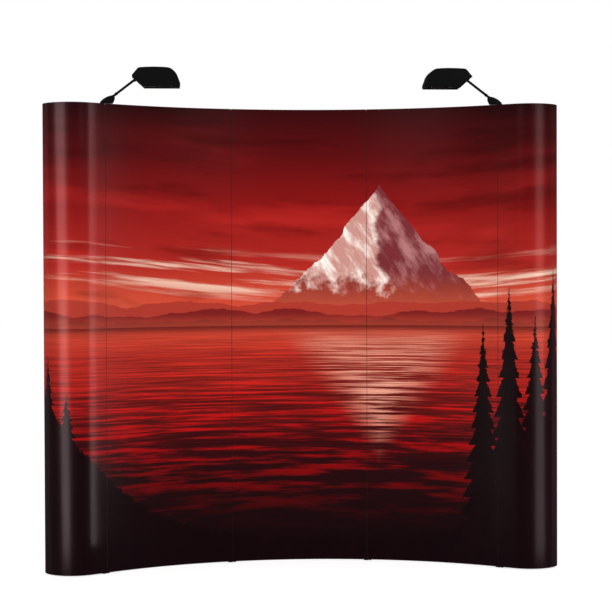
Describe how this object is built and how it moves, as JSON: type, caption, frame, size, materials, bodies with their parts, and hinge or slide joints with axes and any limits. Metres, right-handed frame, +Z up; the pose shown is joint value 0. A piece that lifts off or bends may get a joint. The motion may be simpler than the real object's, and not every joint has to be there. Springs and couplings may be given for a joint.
{
  "type": "curved pop-up display",
  "caption": "Curved pop-up exhibition display: scissor frame with channel bars, printed front and curled end panels, and arm lamps on top.",
  "frame": {"origin": "on the floor, under the middle of the whole display's bounding box", "axes": "+X to the right when facing the printed front, +Y from the front to the back, +Z up; the concave printed face looks along -Y"},
  "size_m": [2.4732, 0.6353, 2.4055],
  "materials": {
    "channel_bar": "black anodised channel with moulded black hubs, satin",
    "hub_plastic": "moulded black nylon",
    "strut_aluminium": "drawn tube, satin",
    "rail_plastic": "extruded strip",
    "laminated_print": "laminated mural print, satin gloss",
    "lamp_clip": "moulded black",
    "lamp_pod": "moulded black",
    "lamp_arm": "black powder coat",
    "lamp_head": "black powder coat",
    "lamp_glass": "clear tempered",
    "lamp_reflector": "bright bent sheet",
    "lamp_tube": "halogen tube with ceramic caps"
  },
  "bodies": {
    "frame": {"front_column_1": "channel_bar", "front_column_2": "channel_bar", "front_column_3": "channel_bar", "front_column_4": "channel_bar", "rear_column_left": "channel_bar", "rear_column_right": "channel_bar", "rear_hub_line2_level1": "hub_plastic", "rear_hub_line2_level2": "hub_plastic", "rear_hub_line2_level3": "hub_plastic", "rear_hub_line2_level4": "hub_plastic", "rear_hub_line3_level1": "hub_plastic", "rear_hub_line3_level2": "hub_plastic", "rear_hub_line3_level3": "hub_plastic", "rear_hub_line3_level4": "hub_plastic", "level_scissor_bay1_level1": "strut_aluminium", "level_scissor_bay1_level2": "strut_aluminium", "level_scissor_bay1_level3": "strut_aluminium", "level_scissor_bay1_level4": "strut_aluminium", "level_scissor_bay2_level1": "strut_aluminium", "level_scissor_bay2_level2": "strut_aluminium", "level_scissor_bay2_level3": "strut_aluminium", "level_scissor_bay2_level4": "strut_aluminium", "level_scissor_bay3_level1": "strut_aluminium", "level_scissor_bay3_level2": "strut_aluminium", "level_scissor_bay3_level3": "strut_aluminium", "level_scissor_bay3_level4": "strut_aluminium", "upright_scissor_line1_row1": "strut_aluminium", "upright_scissor_line1_row2": "strut_aluminium", "upright_scissor_line1_row3": "strut_aluminium", "upright_scissor_line2_row1": "strut_aluminium", "upright_scissor_line2_row2": "strut_aluminium", "upright_scissor_line2_row3": "strut_aluminium", "upright_scissor_line3_row1": "strut_aluminium", "upright_scissor_line3_row2": "strut_aluminium", "upright_scissor_line3_row3": "strut_aluminium", "upright_scissor_line4_row1": "strut_aluminium", "upright_scissor_line4_row2": "strut_aluminium", "upright_scissor_line4_row3": "strut_aluminium", "lamp_left_clip": "lamp_clip", "lamp_right_clip": "lamp_clip"},
    "front_panel_left": {"front_panel_left": "laminated_print", "front_panel_left_top_rail": "rail_plastic"},
    "front_panel_centre": {"front_panel_centre": "laminated_print", "front_panel_centre_top_rail": "rail_plastic"},
    "front_panel_right": {"front_panel_right": "laminated_print", "front_panel_right_top_rail": "rail_plastic"},
    "end_panel_left": {"end_panel_left": "laminated_print"},
    "end_panel_right": {"end_panel_right": "laminated_print"},
    "lamp_left_arm": {"lamp_left_pod": "lamp_pod", "lamp_left_arm": "lamp_arm"},
    "lamp_left_head": {"lamp_left_head_shell": "lamp_head", "lamp_left_glass": "lamp_glass", "lamp_left_reflector": "lamp_reflector", "lamp_left_halogen_tube": "lamp_tube"},
    "lamp_right_arm": {"lamp_right_pod": "lamp_pod", "lamp_right_arm": "lamp_arm"},
    "lamp_right_head": {"lamp_right_head_shell": "lamp_head", "lamp_right_glass": "lamp_glass", "lamp_right_reflector": "lamp_reflector", "lamp_right_halogen_tube": "lamp_tube"}
  },
  "joints": [
    {"name": "front_panel_left_slide", "type": "slide", "parent": "frame", "child": "front_panel_left", "axis": [0, -1, 0], "range_m": [0, 0.3]},
    {"name": "front_panel_centre_slide", "type": "slide", "parent": "frame", "child": "front_panel_centre", "axis": [0, -1, 0], "range_m": [0, 0.3]},
    {"name": "front_panel_right_slide", "type": "slide", "parent": "frame", "child": "front_panel_right", "axis": [0, -1, 0], "range_m": [0, 0.3]},
    {"name": "end_panel_left_slide", "type": "slide", "parent": "frame", "child": "end_panel_left", "axis": [-0.7934, -0.6088, 0], "range_m": [0, 0.3]},
    {"name": "end_panel_right_slide", "type": "slide", "parent": "frame", "child": "end_panel_right", "axis": [0.7934, -0.6088, 0], "range_m": [0, 0.3]},
    {"name": "lamp_left_swivel", "type": "hinge", "parent": "frame", "child": "lamp_left_arm", "pos_m": [-0.95162, -0.21743, 2.23433], "axis": [0, 0, -1], "range_deg": [-5, 110]},
    {"name": "lamp_left_tilt", "type": "hinge", "parent": "lamp_left_arm", "child": "lamp_left_head", "pos_m": [-0.79004, -0.21743, 2.35482], "axis": [0, 1, 0], "range_deg": [-20, 60]},
    {"name": "lamp_right_swivel", "type": "hinge", "parent": "frame", "child": "lamp_right_arm", "pos_m": [0.95162, -0.21743, 2.23433], "axis": [0, 0, 1], "range_deg": [-5, 110]},
    {"name": "lamp_right_tilt", "type": "hinge", "parent": "lamp_right_arm", "child": "lamp_right_head", "pos_m": [0.79004, -0.21743, 2.35482], "axis": [0, -1, 0], "range_deg": [-20, 60]}
  ]
}
